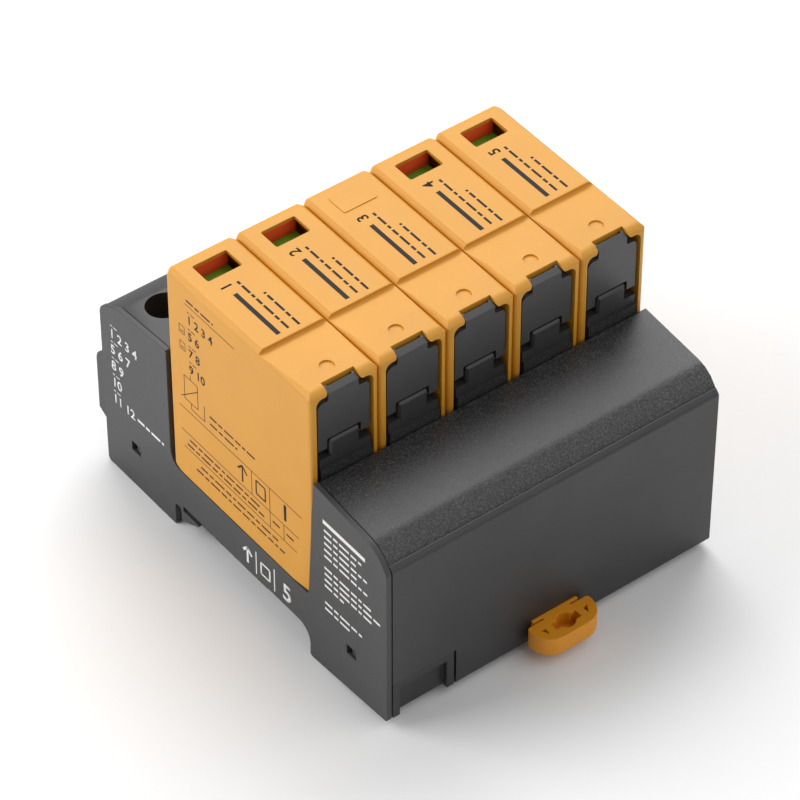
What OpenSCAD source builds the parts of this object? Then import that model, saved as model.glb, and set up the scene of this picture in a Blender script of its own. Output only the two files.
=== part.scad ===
// Pluggable surge arrester for a 35 mm DIN rail.
// Five plug-in arrester modules stand in one five-pole base. The base hooks over the rail and is held
// by a sliding foot, and each pole has a rising-cage screw terminal at the rear.
// The origin is the middle of the rail seat. X runs along the rail, -Y is the front with the foot,
// and +Z points away from the rail.

/* [Row of poles] */
// Spacing of the poles along the rail
pole_pitch = 18; // [17.4:0.1:20]
// Gap between neighbouring modules
plug_gap = 0.2; // [0.1:0.05:0.5]
// Base standing past the row of modules at each end
end_margin = 0.1; // [0.1:0.1:1.5]

/* [Base] */
// Rail centre to the front face
base_front = 57; // [54:0.5:62]
// Rail centre to the rear face
base_rear = 47.5; // [46:0.5:54]
// Height of the shoulder in front of the modules
shoulder_z = 46; // [43:0.5:48]
// Height of the roof over the terminals
roof_z = 44.4; // [42:0.2:50]
// Height of the crease where the front face ends
crease_z = 40.2; // [36:0.2:41]
// How far the legs reach behind the rail seat
leg_drop = 7.7; // [7.2:0.1:9]
// Rise of the front leg's underside towards the front face
front_lift = 2.2; // [1.6:0.1:3.4]
// Thickness of the end cover
cover_t = 1.6; // [1.2:0.1:2]
// Height of the raised rail seat pad
seat_pad = 0.3; // [0.2:0.1:0.6]

/* [Module pocket] */
// Height of the pocket floor above the rail seat
floor_z = 11; // [10.5:0.5:14]
// Rail centre to the top edge of the pocket's front wall
pocket_front = 31.6; // [30.6:0.2:33]
// Lean of the pocket's front wall, from its top to the floor
pocket_lean = 2.4; // [1:0.2:3]
// Rail centre to the pocket's rear wall
pocket_rear = 21.8; // [20.5:0.1:22.5]
// Radius of the pocket's rear bottom corner
pocket_r = 4; // [2:0.5:6]

/* [Modules] */
// Height of a module's top face above the rail seat
plug_top = 70; // [67:0.5:76]
// Wall of the module housing
plug_wall = 1.5; // [1.2:0.1:2]
// Gap between a module and the pocket walls in front and behind
plug_clear = 0.5; // [0.3:0.1:1]
// Radius of the front and rear top edges
brow_r = 2.5; // [1:0.25:3]
// Radius of the long top edges
edge_r = 1.2; // [0.5:0.1:1.5]
// Radius of the upright edges at the rear
corner_r = 1.2; // [0.5:0.1:2.5]
// Radius of the upright edges at the front
front_r = 1.2; // [0.3:0.1:1.3]
// Depth of the finger recess at its rear step
grip_depth = 1.1; // [0.4:0.05:1.3]
// Length of the finger recess
grip_len = 10; // [7:0.5:12]
// Distance from the module front to the finger recess
grip_inset = 8.3; // [7.6:0.1:10]
// Width of the status window
window_w = 9; // [6:0.2:10]
// Length of the status window
window_len = 6; // [4:0.1:6.4]
// Distance from the module rear to the status window
window_inset = 4.2; // [3:0.1:5]
// Wall left round the status window
window_wall = 0.8; // [0.6:0.1:1.2]
// Depth of the status flag below the top face
flag_sink = 4.3; // [4:0.1:6]
// Diameter of the sunk dot near the latch
dot_d = 3.4; // [2:0.2:4]

/* [Latches] */
// Width of the latch plate
latch_w = 13.5; // [12:0.1:13.8]
// Thickness of the latch plate
latch_t = 1.6; // [1.4:0.1:2]
// Width of the latch's finger lip
lip_w = 7.8; // [6:0.2:9]
// Depth of the lip's top below the module's top face
lip_drop = 0.8; // [0.4:0.1:1]
// Diameter of the latch's pivot pins
pivot_d = 2; // [1.6:0.1:2.2]
// Height of the post that each latch closes over, above the shoulder
post_h = 4.9; // [3.5:0.1:6]
// Height of the post's tab
tab_h = 4.3; // [2:0.1:5]
// Width of the post's tab
tab_w = 7.7; // [5:0.1:9]

/* [Terminals] */
// Screw axis to the rear face
screw_inset = 12.5; // [11:0.1:13.5]
// Diameter of the screw access holes in the roof
access_d = 9; // [8:0.5:10]
// Diameter of the terminal screw's shank
screw_d = 5; // [4:0.5:6]
// Diameter of the terminal screw's head
head_d = 7.5; // [7:0.1:7.8]
// Height of the wire space in an open terminal
wire_h = 9.5; // [7:0.5:10]
// Width of the wire space
wire_w = 7.6; // [6:0.2:8]
// Travel of the clamp cage
cage_lift = 4.8; // [3:0.1:5]
// Reach of the cable entry collar behind the rear face
collar_reach = 5; // [2:0.2:6]

/* [Contacts] */
// Thickness of the busbars and terminal bars
bar_t = 1.5; // [1:0.1:1.8]
// Thickness of the module's contact blades
blade_t = 1; // [0.8:0.1:1.2]
// Width of the module's contact blades
blade_w = 6; // [4:0.2:6.6]
// Reach of the blades below the module
blade_reach = 7; // [5.5:0.1:7.2]

/* [Rail foot] */
// Width of the foot's handle
handle_w = 17; // [15:0.1:20]
// Reach of the handle in front of the base
handle_reach = 7.8; // [6:0.1:10]
// Thickness of the handle
handle_t = 4.9; // [4:0.1:5.5]
// Width of the foot's sliding neck
neck_w = 12.5; // [9:0.5:13]
// Outward travel of the foot
foot_travel = 5; // [3:0.5:6]
// Offset of the foot from the middle of the base
foot_x = 0.5; // [-4:0.1:4]

/* [Hidden] */
poles = 5;
spark_pole = 2;
RAIL_W = 35;
RAIL_T = 1;

fit = 0.2;
slide_fit = 0.1;
running_fit = 0.05;
QUARTER_STEPS = 5;
$fn = 48;

plug_w = pole_pitch - plug_gap;
base_w = poles * pole_pitch + 2 * end_margin;
base_left = -base_w / 2;
base_right = base_w / 2;
body_left = base_left + cover_t;
front_z = -leg_drop + front_lift;

// Legs and rail hook, seen from the end
front_leg_y = -29.5;
rear_leg_y = 20.9;
seat_front = -14;
seat_rear = 11;
hook_tip_y = 12.2;
hook_root_y = RAIL_W / 2 + 0.3;
hook_neck = 0.9;
hook_gap = RAIL_T + 0.3;
hook_slot_top = -1;
hook_tip_t = 0.6;
hook_t = 3.6;
roof_run = 7;
roof_dip = 1.4;
roof_fall = 5;
roof_r = 3;

// Brim along the front: a bevelled band, a fine ledge and a broad curve up to the shoulder
band = 1.1;
crease_step = 0.3;
brim_drop = 2.15;
brim_rise = shoulder_z - brim_drop - crease_z;
brim_slope = 60;
brim_y = -base_front + band + crease_step + brim_rise / tan(brim_slope);
brim_r = 2 * brim_rise;
cover_proud = 0.25;

// Module outline
plug_front = -pocket_front + plug_clear + 0.1;
plug_rear = pocket_rear - plug_clear;
plug_bottom = floor_z + fit;
plug_taper_y = -pocket_front + pocket_lean + 0.4;
inner_x = plug_w / 2 - plug_wall;
channel_back = plug_front + 4.5;
cavity_front = channel_back + plug_wall;
cavity_rear = plug_rear - plug_wall;
ceiling_z = plug_top - grip_depth - plug_wall;
grip_front = plug_front + grip_inset;
grip_rear = grip_front + grip_len;
grip_foot_r = 0.45 * grip_depth;
grip_edge_r = 0.25 * grip_depth;
window_rear = plug_rear - window_inset;
window_front = window_rear - window_len;
window_rim = 1.1;
lead_lean = 11;
lead_run = 8;
lead_slope = 0.1;

// Latch and its post on the base
latch_inset = 0.5;
latch_front = plug_front + latch_inset;
latch_back = latch_front + latch_t;
post_top = shoulder_z + post_h;
tab_top = post_top + tab_h;
post_t = 2.9;
post_front = -pocket_front + 0.1;
post_back = post_front + post_t;
post_w = 13.2;
post_step = 2.6;
post_ledge = 0.7;
tab_front = -pocket_front + 0.7;
tab_t = 1.7;
tab_back = tab_front + tab_t;
tab_bevel = 0.5;
latch_gap = 0.55;
latch_lift = 2.2;
latch_bottom = post_top + latch_lift;
brow_drop = 1.7;
brow_z = plug_top - brow_drop;
plate_drop = 1.9;
plate_top = brow_z - plate_drop;
pivot_inset = 2.4;
pivot_y = plug_front + pivot_inset;
pivot_rise = 2.6;
pivot_z = tab_top + pivot_rise;
lip_top = plug_top - lip_drop;
lip_run = 1.3;
lip_fall = 0.75;
lip_t = 1.3;
lip_arm = 0.6;
lip_reach = 2.5;
lip_back = plug_front + lip_reach;
lip_gap = 0.3;

// Contacts under the pocket floor
room_bottom = seat_pad + 1.5;
room_top = floor_z - 1.5;
blade_front_y = -16;
blade_rear_y = 8;
blade_tip = plug_bottom - blade_reach;
finger_t = 0.8;
finger_gap = 0.1;
bar_w = 6;
busbar_w = 10;
plug_floor_t = 2;
plug_floor_top = plug_bottom + plug_floor_t;
pack_bottom = 20;
pack_top = ceiling_z - 12;
varistor_t = 11;
varistor_r = 3;
varistor_lead = 3;
varistor_trail = 5;
spark_d = 12.6;
spark_z = 29;

// Status flag under the window
flag_floor_t = 1;
flag_t = 0.9;
flag_travel = 7;
flag_z = plug_top - flag_sink - flag_t - running_fit;

// Terminals
screw_y = base_rear - screw_inset;
cage_len = 9;
cage_bottom_t = 1.4;
cage_side_t = 1.2;
cage_top_t = 2;
cage_w = wire_w + 2 * cage_side_t;
wire_bottom = 8;
tongue_bottom = wire_bottom + wire_h;
tongue_top = tongue_bottom + bar_t;
cage_bottom = wire_bottom - cage_bottom_t;
cage_roof = tongue_top + 2.5;
cage_top = cage_roof + cage_top_t;
cage_room_top = cage_top + cage_lift + 0.3;
ledge_z = cage_room_top + 1.4;
head_h = 3.5;
riser_front = pocket_rear + 1.7;
riser_back = riser_front + bar_t;
collar_low = wire_bottom - 7;
collar_high = tongue_bottom + 5.5;
collar_back = base_rear + collar_reach;
entry_w = wire_w + 1.2;
entry_flare = 1;

// Rail foot
handle_gap = 1.2;
handle_slot = 0.6;
handle_slot_len = 2.5;
eye_d = 4.4;
eye_web = 1;
handle_front = -base_front - handle_reach;
handle_back = -base_front - handle_gap;
handle_lift = 3.5;
handle_low = -leg_drop + handle_lift;
handle_top = handle_low + handle_t;
eye_y = -base_front - 4.2;
blade_top_z = -RAIL_T - 0.2;
foot_low = blade_top_z - 2.2;
nose_y = -RAIL_W / 2 + 2;
flange_w = neck_w + 4;
flange_front = -44.7;
flange_rear = -33;
neck_rear = -46;
flange_stop = flange_front - foot_travel - 0.3;

// Front port and its blank
port_left = body_left;
port_w = 17.1;
port_top = 5;
port_depth = 8;
blank_frame = 2;
blank_sink = 1.5;
blank_slot = 0.5;

// End cover catches
catch_w = 3.4;
catch_h = 2.8;
catch_share = 0.6;
catch_sink = 0.6;
catch_pocket = 2.5;
catch_spots = [[-base_front + 12.5, 5.7], [base_rear - 11.8, 4.3]];

function per_pole(name, list) = [for (k = list) str(name, "_", k + 1)];
all_poles = [for (k = [0:poles - 1]) k];
flag_poles = [for (k = all_poles) if (k != spark_pole) k];

// Outlines

function flat(point) = [point[0], point[1]];
function unit(v) = v / norm(v);

// Arc that rounds the corner at b, between the edges from a and to c
function corner(a, b, c, r) =
    let (
        back = unit(a - b),
        on = unit(c - b),
        half = acos(back * on) / 2,
        start = b + back * r / tan(half),
        end = b + on * r / tan(half),
        middle = b + unit(back + on) * r / sin(half),
        first = atan2(start[1] - middle[1], start[0] - middle[0]),
        last = atan2(end[1] - middle[1], end[0] - middle[0]),
        swing = last - first,
        turn = swing > 180 ? swing - 360 : swing < -180 ? swing + 360 : swing,
        steps = max(2, round(abs(turn) / 90 * QUARTER_STEPS))
    )
    [for (i = [0:steps]) middle + r * [cos(first + turn * i / steps), sin(first + turn * i / steps)]];

// Outline through points [u, v, radius], each corner rounded to its radius
function rounded(path) =
    let (n = len(path))
    [for (i = [0:n - 1])
        each path[i][2] > 0
            ? corner(flat(path[(i + n - 1) % n]), flat(path[i]), flat(path[(i + 1) % n]), path[i][2])
            : [flat(path[i])]];

// End view of the base's front: face, bevelled band and ledge
function base_brim() = [
    [-base_front, front_z, 0.8],
    [-base_front, crease_z - band, 1.5],
    [-base_front + band, crease_z, 0],
    [-base_front + band + crease_step, crease_z, 0]
];

// End view of the cover's front, which runs up without a ledge
function cover_brim() = [
    [-base_front, front_z, 0.8],
    [-base_front, crease_z - band, 1.5]
];

// End view above the rail: brim, module pocket, roof and rear face, raised a little for the cover
function upper(proud) = [
    [brim_y, shoulder_z - brim_drop + proud, brim_r],
    [-pocket_front, shoulder_z + proud, 0.4],
    [-pocket_front + pocket_lean, floor_z, 1],
    [pocket_rear, floor_z, pocket_r],
    [pocket_rear, roof_z + proud, 0.4],
    [base_rear - roof_run, roof_z - roof_dip + proud, 0],
    [base_rear, roof_z - roof_fall + proud, roof_r],
    [base_rear, -leg_drop, 1.2]
];

// End view at the rail: rear leg, slotted hook tongue, raised seat pad and front leg
function rail_side() = [
    [rear_leg_y, -leg_drop, 0.6],
    [rear_leg_y, hook_slot_top, 0.8],
    [hook_root_y + hook_neck, hook_slot_top, 0.8],
    [hook_root_y + hook_neck, -hook_gap - hook_t, 0.4],
    [hook_tip_y, -hook_gap - hook_tip_t, 0.2],
    [hook_tip_y, -hook_gap, 0.2],
    [hook_root_y, -hook_gap, 0],
    [hook_root_y, seat_pad, 0],
    [seat_rear, seat_pad, 0],
    [seat_rear, 0, 0],
    [seat_front, 0, 0],
    [seat_front, seat_pad, 0],
    [front_leg_y, seat_pad, 4],
    [front_leg_y, -leg_drop, 0.8]
];

// Shapes shared by several pieces

module along_x(from, to) translate([from, 0, 0]) rotate([90, 0, 90]) linear_extrude(to - from) children();
module along_y(from, to) translate([0, to, 0]) rotate([90, 0, 0]) linear_extrude(to - from) children();
module along_z(from, to) translate([0, 0, from]) linear_extrude(to - from) children();
module block(from, to) translate(from) cube(to - from);
module at_pole(k) translate([(k - (poles - 1) / 2) * pole_pitch, 0, 0]) children();
module pin_x(from, to, y, z, d) translate([from, y, z]) rotate([0, 90, 0]) cylinder(h = to - from, d = d);

// Pair of spring fingers that grip a blade from both sides, standing on a bar
module spring_clip(y) {
    for (side = [-1, 1])
        along_x(-blade_w / 2, blade_w / 2)
            translate([y, 0]) scale_side(side)
                polygon([
                    [blade_t / 2 + finger_gap, room_bottom + bar_t - 0.1],
                    [blade_t / 2 + finger_gap + finger_t, room_bottom + bar_t - 0.1],
                    [blade_t / 2 + finger_gap + finger_t, room_top - 1.2],
                    [blade_t / 2 + finger_gap + finger_t + 0.7, room_top - 0.2],
                    [blade_t / 2 + finger_gap + 0.8, room_top - 0.2],
                    [blade_t / 2 + finger_gap, room_top - 1.2]
                ]);
}
module scale_side(side) mirror([side < 0 ? 1 : 0, 0]) children();

// Base

// Post in front of each module: a stepped strip with a bevelled tab that the latch closes over
module latch_post() {
    along_x(-post_w / 2, post_w / 2) polygon([
        [-pocket_front - 1.5, shoulder_z - 1.2],
        [post_front, shoulder_z - 1.2],
        [post_front, shoulder_z + post_step],
        [post_front + post_ledge, shoulder_z + post_step],
        [post_front + post_ledge, post_top],
        [post_back, post_top],
        [post_back, shoulder_z - 18],
        [-pocket_front + 1, shoulder_z - 20],
        [-pocket_front - 1.5, shoulder_z - 20]
    ]);
    post_tab();
}

// Tab on the post, bevelled along its top and its sides
module post_tab() intersection() {
    along_y(tab_front, tab_back) polygon(rounded([
        [-tab_w / 2, post_top - 1, 0],
        [-tab_w / 2, tab_top, 0.6],
        [tab_w / 2, tab_top, 0.6],
        [tab_w / 2, post_top - 1, 0]
    ]));
    along_x(-tab_w / 2, tab_w / 2) polygon([
        [tab_front, post_top - 1],
        [tab_front, tab_top - tab_bevel],
        [tab_front + tab_bevel, tab_top],
        [tab_back, tab_top],
        [tab_back, post_top - 1]
    ]);
    along_z(post_top - 1, tab_top) polygon([
        [-tab_w / 2, tab_back],
        [-tab_w / 2, tab_front + tab_bevel],
        [-tab_w / 2 + tab_bevel, tab_front],
        [tab_w / 2 - tab_bevel, tab_front],
        [tab_w / 2, tab_front + tab_bevel],
        [tab_w / 2, tab_back]
    ]);
}

// Cable entry collar along the rear face, rounded above and chamfered below
module entry_collar()
    along_x(body_left, base_right - 0.8) polygon(rounded([
        [base_rear - 1, collar_low, 0],
        [base_rear, collar_low, 0],
        [collar_back, collar_low + 3, 0.5],
        [collar_back, collar_high, 4],
        [base_rear - 1, collar_high, 0]
    ]));

// Funnel that leads a wire through the collar into the clamp cage
module wire_entry() intersection() {
    along_x(-entry_w, entry_w) polygon([
        [screw_y, wire_bottom - 0.4],
        [collar_back - 1.5, wire_bottom - 0.4],
        [collar_back + 1, wire_bottom - 0.4 - entry_flare],
        [collar_back + 1, tongue_bottom + entry_flare],
        [collar_back - 1.5, tongue_bottom],
        [screw_y, tongue_bottom]
    ]);
    along_z(0, roof_z) polygon([
        [-entry_w / 2, screw_y],
        [entry_w / 2, screw_y],
        [entry_w / 2, collar_back - 1.5],
        [entry_w / 2 + entry_flare, collar_back + 1],
        [-entry_w / 2 - entry_flare, collar_back + 1],
        [-entry_w / 2, collar_back - 1.5]
    ]);
}

// Room of one terminal: screw well, cage chamber, wire funnel and the way of the terminal bar
module terminal_room() {
    translate([0, screw_y, ledge_z]) cylinder(h = roof_z - ledge_z + 1, d = access_d);
    translate([0, screw_y, cage_room_top - 1]) cylinder(h = ledge_z - cage_room_top + 2, d = screw_d + 0.6);
    block(
        [-cage_w / 2 - fit, screw_y - cage_len / 2 - fit, cage_bottom - fit],
        [cage_w / 2 + fit, screw_y + cage_len / 2 + fit, cage_room_top]
    );
    wire_entry();
    block(
        [-bar_w / 2 - fit, blade_rear_y - 4 - fit, room_bottom],
        [bar_w / 2 + fit, riser_back + fit, room_top]
    );
    block(
        [-bar_w / 2 - fit, riser_front - fit, room_bottom],
        [bar_w / 2 + fit, riser_back + fit, tongue_top + fit]
    );
    block(
        [-bar_w / 2 - fit, riser_front - fit, tongue_bottom - fit],
        [bar_w / 2 + fit, screw_y, tongue_top + fit]
    );
}

// Slots in the pocket floor for the two blades of a module
module blade_slots()
    for (y = [blade_front_y, blade_rear_y])
        block(
            [-blade_w / 2 - 0.4, y - blade_t / 2 - 0.6, room_top - 1],
            [blade_w / 2 + 0.4, y + blade_t / 2 + 0.6, floor_z + 1]
        );

// Way of the rail foot through the front leg: open below, with a groove at each side for its flanges
module foot_way() translate([foot_x, 0, 0]) {
    block(
        [-neck_w / 2 - fit, -base_front - 1, -leg_drop - 1],
        [neck_w / 2 + fit, neck_rear + fit, handle_top + fit]
    );
    block(
        [-neck_w / 2 - fit, neck_rear - 1, -leg_drop - 1],
        [neck_w / 2 + fit, front_leg_y + 4.5, blade_top_z + fit]
    );
    block(
        [-flange_w / 2 - fit, flange_stop, foot_low - fit],
        [flange_w / 2 + fit, front_leg_y + 4.5, blade_top_z + fit]
    );
}

// Opening of one cover catch, as far into the base as the pocket round the catch
module catch_opening(spot)
    block(
        [base_left - 1, spot[0] - catch_w / 2, spot[1] - catch_h / 2],
        [body_left + catch_pocket, spot[0] + catch_w / 2, spot[1] + catch_h / 2]
    );

// Catch of the base in the lower front corner of its opening
module cover_catch(spot)
    block(
        [base_left + catch_sink, spot[0] - catch_w / 2 + fit, spot[1] - catch_h / 2 + fit],
        [
            body_left + catch_pocket + 1,
            spot[0] + catch_w * (catch_share - 0.5),
            spot[1] + catch_h * (catch_share - 0.5)
        ]
    );

module base_housing() color("#47484a") {
    base_moulding();
    for (spot = catch_spots) cover_catch(spot);
}

module base_moulding() difference() {
    union() {
        along_x(body_left, base_right) polygon(rounded(concat(base_brim(), upper(0), rail_side())));
        entry_collar();
        for (k = all_poles) at_pole(k) latch_post();
    }
    for (spot = catch_spots) catch_opening(spot);
    for (k = all_poles) at_pole(k) {
        terminal_room();
        blade_slots();
    }
    block(
        [body_left - 1, blade_front_y - busbar_w / 2 - fit, room_bottom],
        [((poles - 1) * pole_pitch + busbar_w) / 2 + fit, blade_front_y + busbar_w / 2 + fit, room_top]
    );
    foot_way();
    block(
        [port_left - 1, -base_front - 1, -leg_drop - 1],
        [port_left + port_w, -base_front + port_depth, port_top]
    );
}

module end_cover() color("#5a5b5d") difference() {
    along_x(base_left, body_left) polygon(rounded(concat(cover_brim(), upper(cover_proud), rail_side())));
    for (spot = catch_spots) catch_opening(spot);
}

// Blank that fills the front port: a frame with a sunk panel, open below
module signal_port_blank() color("#3c3d3e") difference() {
    block(
        [port_left + running_fit, -base_front, front_z + fit],
        [port_left + port_w - blank_slot, -base_front + port_depth - fit, port_top - running_fit]
    );
    block(
        [port_left + blank_frame, -base_front - 1, front_z],
        [port_left + port_w - blank_slot - blank_frame, -base_front + blank_sink, port_top - blank_frame]
    );
}

// Foot that slides under the rail: a handle with a screwdriver eye, a flanged neck and a bevelled nose
module rail_foot() color("#be7d23") translate([foot_x, 0, 0]) difference() {
    union() {
        along_z(handle_low, handle_top) polygon(rounded([
            [-handle_w / 2, handle_back, 0.8],
            [-handle_w / 2, handle_front, 5],
            [handle_w / 2, handle_front, 5],
            [handle_w / 2, handle_back, 0.8]
        ]));
        block([-neck_w / 2, handle_back - 1, foot_low], [neck_w / 2, neck_rear, handle_top]);
        along_x(-neck_w / 2, neck_w / 2) polygon([
            [neck_rear - 1, foot_low],
            [nose_y, foot_low],
            [nose_y, foot_low + 0.8],
            [nose_y - 2, blade_top_z],
            [neck_rear - 1, blade_top_z]
        ]);
        block([-flange_w / 2, flange_front, foot_low], [flange_w / 2, flange_rear, blade_top_z]);
    }
    translate([0, eye_y, handle_low + eye_web]) {
        cylinder(h = handle_t, d = eye_d);
        along_z(0, handle_t) square([6.8, 2.2], center = true);
    }
    for (side = [-1, 1]) {
        along_z(handle_top - 1.6, handle_top + 1)
            translate([side * (handle_w / 2 - 2), -base_front - 3.3]) scale_side(side)
                polygon([[0, 0], [-1.3, -0.2], [-1.1, -1.9]]);
        scale_side(side)
            block(
                [neck_w / 2 - handle_slot_len, handle_back, foot_low - 1],
                [neck_w / 2 + 1, handle_back + handle_slot, handle_top + 1]
            );
    }
}

// Contacts in the base

module common_busbar() color("#c8a46a") {
    block(
        [-((poles - 1) * pole_pitch + busbar_w) / 2, blade_front_y - busbar_w / 2, room_bottom],
        [((poles - 1) * pole_pitch + busbar_w) / 2, blade_front_y + busbar_w / 2, room_bottom + bar_t]
    );
    for (k = all_poles) at_pole(k) spring_clip(blade_front_y);
}

// Bar of one pole: rear clip, a run under the pocket, a riser and the tongue inside the clamp cage
module terminal_bar() color("#c8a46a") {
    along_x(-bar_w / 2, bar_w / 2) polygon([
        [blade_rear_y - 4, room_bottom],
        [riser_back, room_bottom],
        [riser_back, tongue_bottom],
        [screw_y + cage_len / 2 - 0.5, tongue_bottom],
        [screw_y + cage_len / 2 - 0.5, tongue_top],
        [riser_front, tongue_top],
        [riser_front, room_bottom + bar_t],
        [blade_rear_y - 4, room_bottom + bar_t]
    ]);
    spring_clip(blade_rear_y);
}

// Rising cage of one terminal, threaded onto the screw by its roof
module clamp_cage() color("#b9bcc0") difference() {
    block(
        [-cage_w / 2, screw_y - cage_len / 2, cage_bottom],
        [cage_w / 2, screw_y + cage_len / 2, cage_top]
    );
    block(
        [-wire_w / 2, screw_y - cage_len, wire_bottom],
        [wire_w / 2, screw_y + cage_len, cage_roof]
    );
    translate([0, screw_y, cage_roof - 1]) cylinder(h = cage_top_t + 2, d = screw_d + 2 * running_fit);
}

// Terminal screw: slotted cheese head on its ledge, with the shank down to the tongue
module terminal_screw() color("#d0d2d4") translate([0, screw_y, 0]) difference() {
    union() {
        translate([0, 0, tongue_top + running_fit])
            cylinder(h = ledge_z - tongue_top + 1, d = screw_d);
        translate([0, 0, ledge_z + running_fit]) cylinder(h = head_h, d = head_d);
    }
    for (angle = [0, 90])
        rotate([0, 0, angle])
            block(
                [-head_d / 2 - 1, -0.55, ledge_z + head_h - 1.6],
                [head_d / 2 + 1, 0.55, ledge_z + head_h + 1]
            );
}

// Modules

// Side view of a module: rounded brow, finger recess and the taper that leads it into the pocket
function plug_side() = rounded([
    [plug_taper_y, plug_bottom, 0.6],
    [plug_front, shoulder_z, 0],
    [plug_front, plug_top, brow_r],
    [grip_front, plug_top, 0],
    [grip_rear, plug_top - grip_depth, grip_foot_r],
    [grip_rear, plug_top, grip_edge_r],
    [plug_rear, plug_top, brow_r],
    [plug_rear, plug_bottom, pocket_r]
]);

function plug_face() = rounded([
    [-plug_w / 2, plug_bottom, 0],
    [-plug_w / 2, plug_top, edge_r],
    [plug_w / 2, plug_top, edge_r],
    [plug_w / 2, plug_bottom, 0]
]);

function plug_plan() = rounded([
    [-plug_w / 2, plug_front, front_r],
    [-plug_w / 2, plug_rear, corner_r],
    [plug_w / 2, plug_rear, corner_r],
    [plug_w / 2, plug_front, front_r]
]);

// Opening in the module front: the latch channel, with a notch through the brow for the finger lip
function latch_opening() = rounded([
    [-inner_x, plug_bottom - 1, 0],
    [-inner_x, brow_z, 1.6],
    [-lip_w / 2 - lip_gap, brow_z, 0.8],
    [-lip_w / 2 - lip_gap, plug_top + 1, 0],
    [lip_w / 2 + lip_gap, plug_top + 1, 0],
    [lip_w / 2 + lip_gap, brow_z, 0.8],
    [inner_x, brow_z, 1.6],
    [inner_x, plug_bottom - 1, 0]
]);

// Slanted bevels that narrow a module's front below the shoulder and lead it into the pocket
module lead_in()
    for (side = [-1, 1])
        translate([0, plug_front + 0.5, shoulder_z]) rotate([lead_lean, 0, 0])
            along_z(-plug_top, 0) scale_side(side) polygon([
                [plug_w / 2 + lead_slope, 1],
                [plug_w / 2 - lead_slope * lead_run, -lead_run],
                [plug_w / 2 + 1, -lead_run],
                [plug_w / 2 + 1, 1]
            ]);

module status_window(depth_from)
    along_z(depth_from, plug_top + 1) polygon(rounded([
        [-window_w / 2, window_front, 0.5],
        [-window_w / 2, window_rear, 0.5],
        [window_w / 2, window_rear, 0.5],
        [window_w / 2, window_front, 0.5]
    ]));

module plug_housing(k) color("#f0b45c") difference() {
    intersection() {
        along_x(-plug_w / 2, plug_w / 2) polygon(plug_side());
        along_y(plug_front - 1, plug_rear + 1) polygon(plug_face());
        along_z(plug_bottom - 1, plug_top + 1) polygon(plug_plan());
    }
    lead_in();
    block([-inner_x, cavity_front, plug_bottom - 1], [inner_x, cavity_rear, ceiling_z]);
    intersection() {
        along_y(plug_front - 1, channel_back) polygon(latch_opening());
        union() {
            block([-plug_w, plug_front - 2, plug_bottom - 2], [plug_w, channel_back + 1, brow_z + 0.01]);
            block([-plug_w, plug_front - 2, brow_z - 2], [plug_w, lip_back + lip_gap, plug_top + 2]);
        }
    }
    pin_x(-inner_x - 1.1, inner_x + 1.1, pivot_y, pivot_z, pivot_d + 2 * running_fit);
    translate([0, plug_front + 6.25, plug_top - 0.4]) cylinder(h = 2, d = dot_d);
    if (k == spark_pole) status_window(plug_top - 0.25);
    else {
        status_window(ceiling_z - 1);
        block(
            [-window_w / 2 - window_rim, window_front - window_rim, ceiling_z - 1],
            [window_w / 2 + window_rim, cavity_rear, plug_top - window_wall]
        );
    }
}

// Floor that closes a module below, slotted for the blades
module plug_floor() color("#d99a45") difference() {
    block(
        [-inner_x + slide_fit, cavity_front + slide_fit, plug_bottom],
        [inner_x - slide_fit, cavity_rear - pocket_r, plug_floor_top]
    );
    for (y = [blade_front_y, blade_rear_y])
        block(
            [-blade_w / 2 - slide_fit, y - blade_t / 2 - slide_fit, plug_bottom - 1],
            [blade_w / 2 + slide_fit, y + blade_t / 2 + slide_fit, plug_floor_top + 1]
        );
}

// Two blades that shoulder on the module floor and end in bevelled tips
module blade_contacts(k) color("#cfd1d3") {
    top = k == spark_pole ? spark_z + 5 : pack_bottom;
    for (y = [blade_front_y, blade_rear_y])
        along_y(y - blade_t / 2, y + blade_t / 2) polygon([
            [-blade_w / 2, plug_floor_top],
            [-blade_w / 2, blade_tip + 1.2],
            [-blade_w / 2 + 1, blade_tip],
            [blade_w / 2 - 1, blade_tip],
            [blade_w / 2, blade_tip + 1.2],
            [blade_w / 2, plug_floor_top],
            [blade_w / 2 + 1.5, plug_floor_top],
            [blade_w / 2 + 1.5, top],
            [-blade_w / 2 - 1.5, top],
            [-blade_w / 2 - 1.5, plug_floor_top]
        ]);
}

// Coated varistor block that stands on the blades
module varistor() color("#2f5f9e")
    along_x(-varistor_t / 2, varistor_t / 2) polygon(rounded([
        [blade_front_y - varistor_lead, pack_bottom, varistor_r],
        [blade_front_y - varistor_lead, pack_top, varistor_r],
        [blade_rear_y + varistor_trail, pack_top, varistor_r],
        [blade_rear_y + varistor_trail, pack_bottom, varistor_r]
    ]));

// Gas-filled spark gap held between the blades of the middle module
module spark_gap() color("#e4e0d6") translate([0, 0, spark_z]) rotate([-90, 0, 0]) {
    inside = blade_rear_y - blade_front_y - blade_t;
    translate([0, 0, blade_front_y + blade_t / 2]) {
        cylinder(h = inside, d = spark_d - 2);
        translate([0, 0, 3]) cylinder(h = inside - 6, d = spark_d);
    }
}

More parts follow.
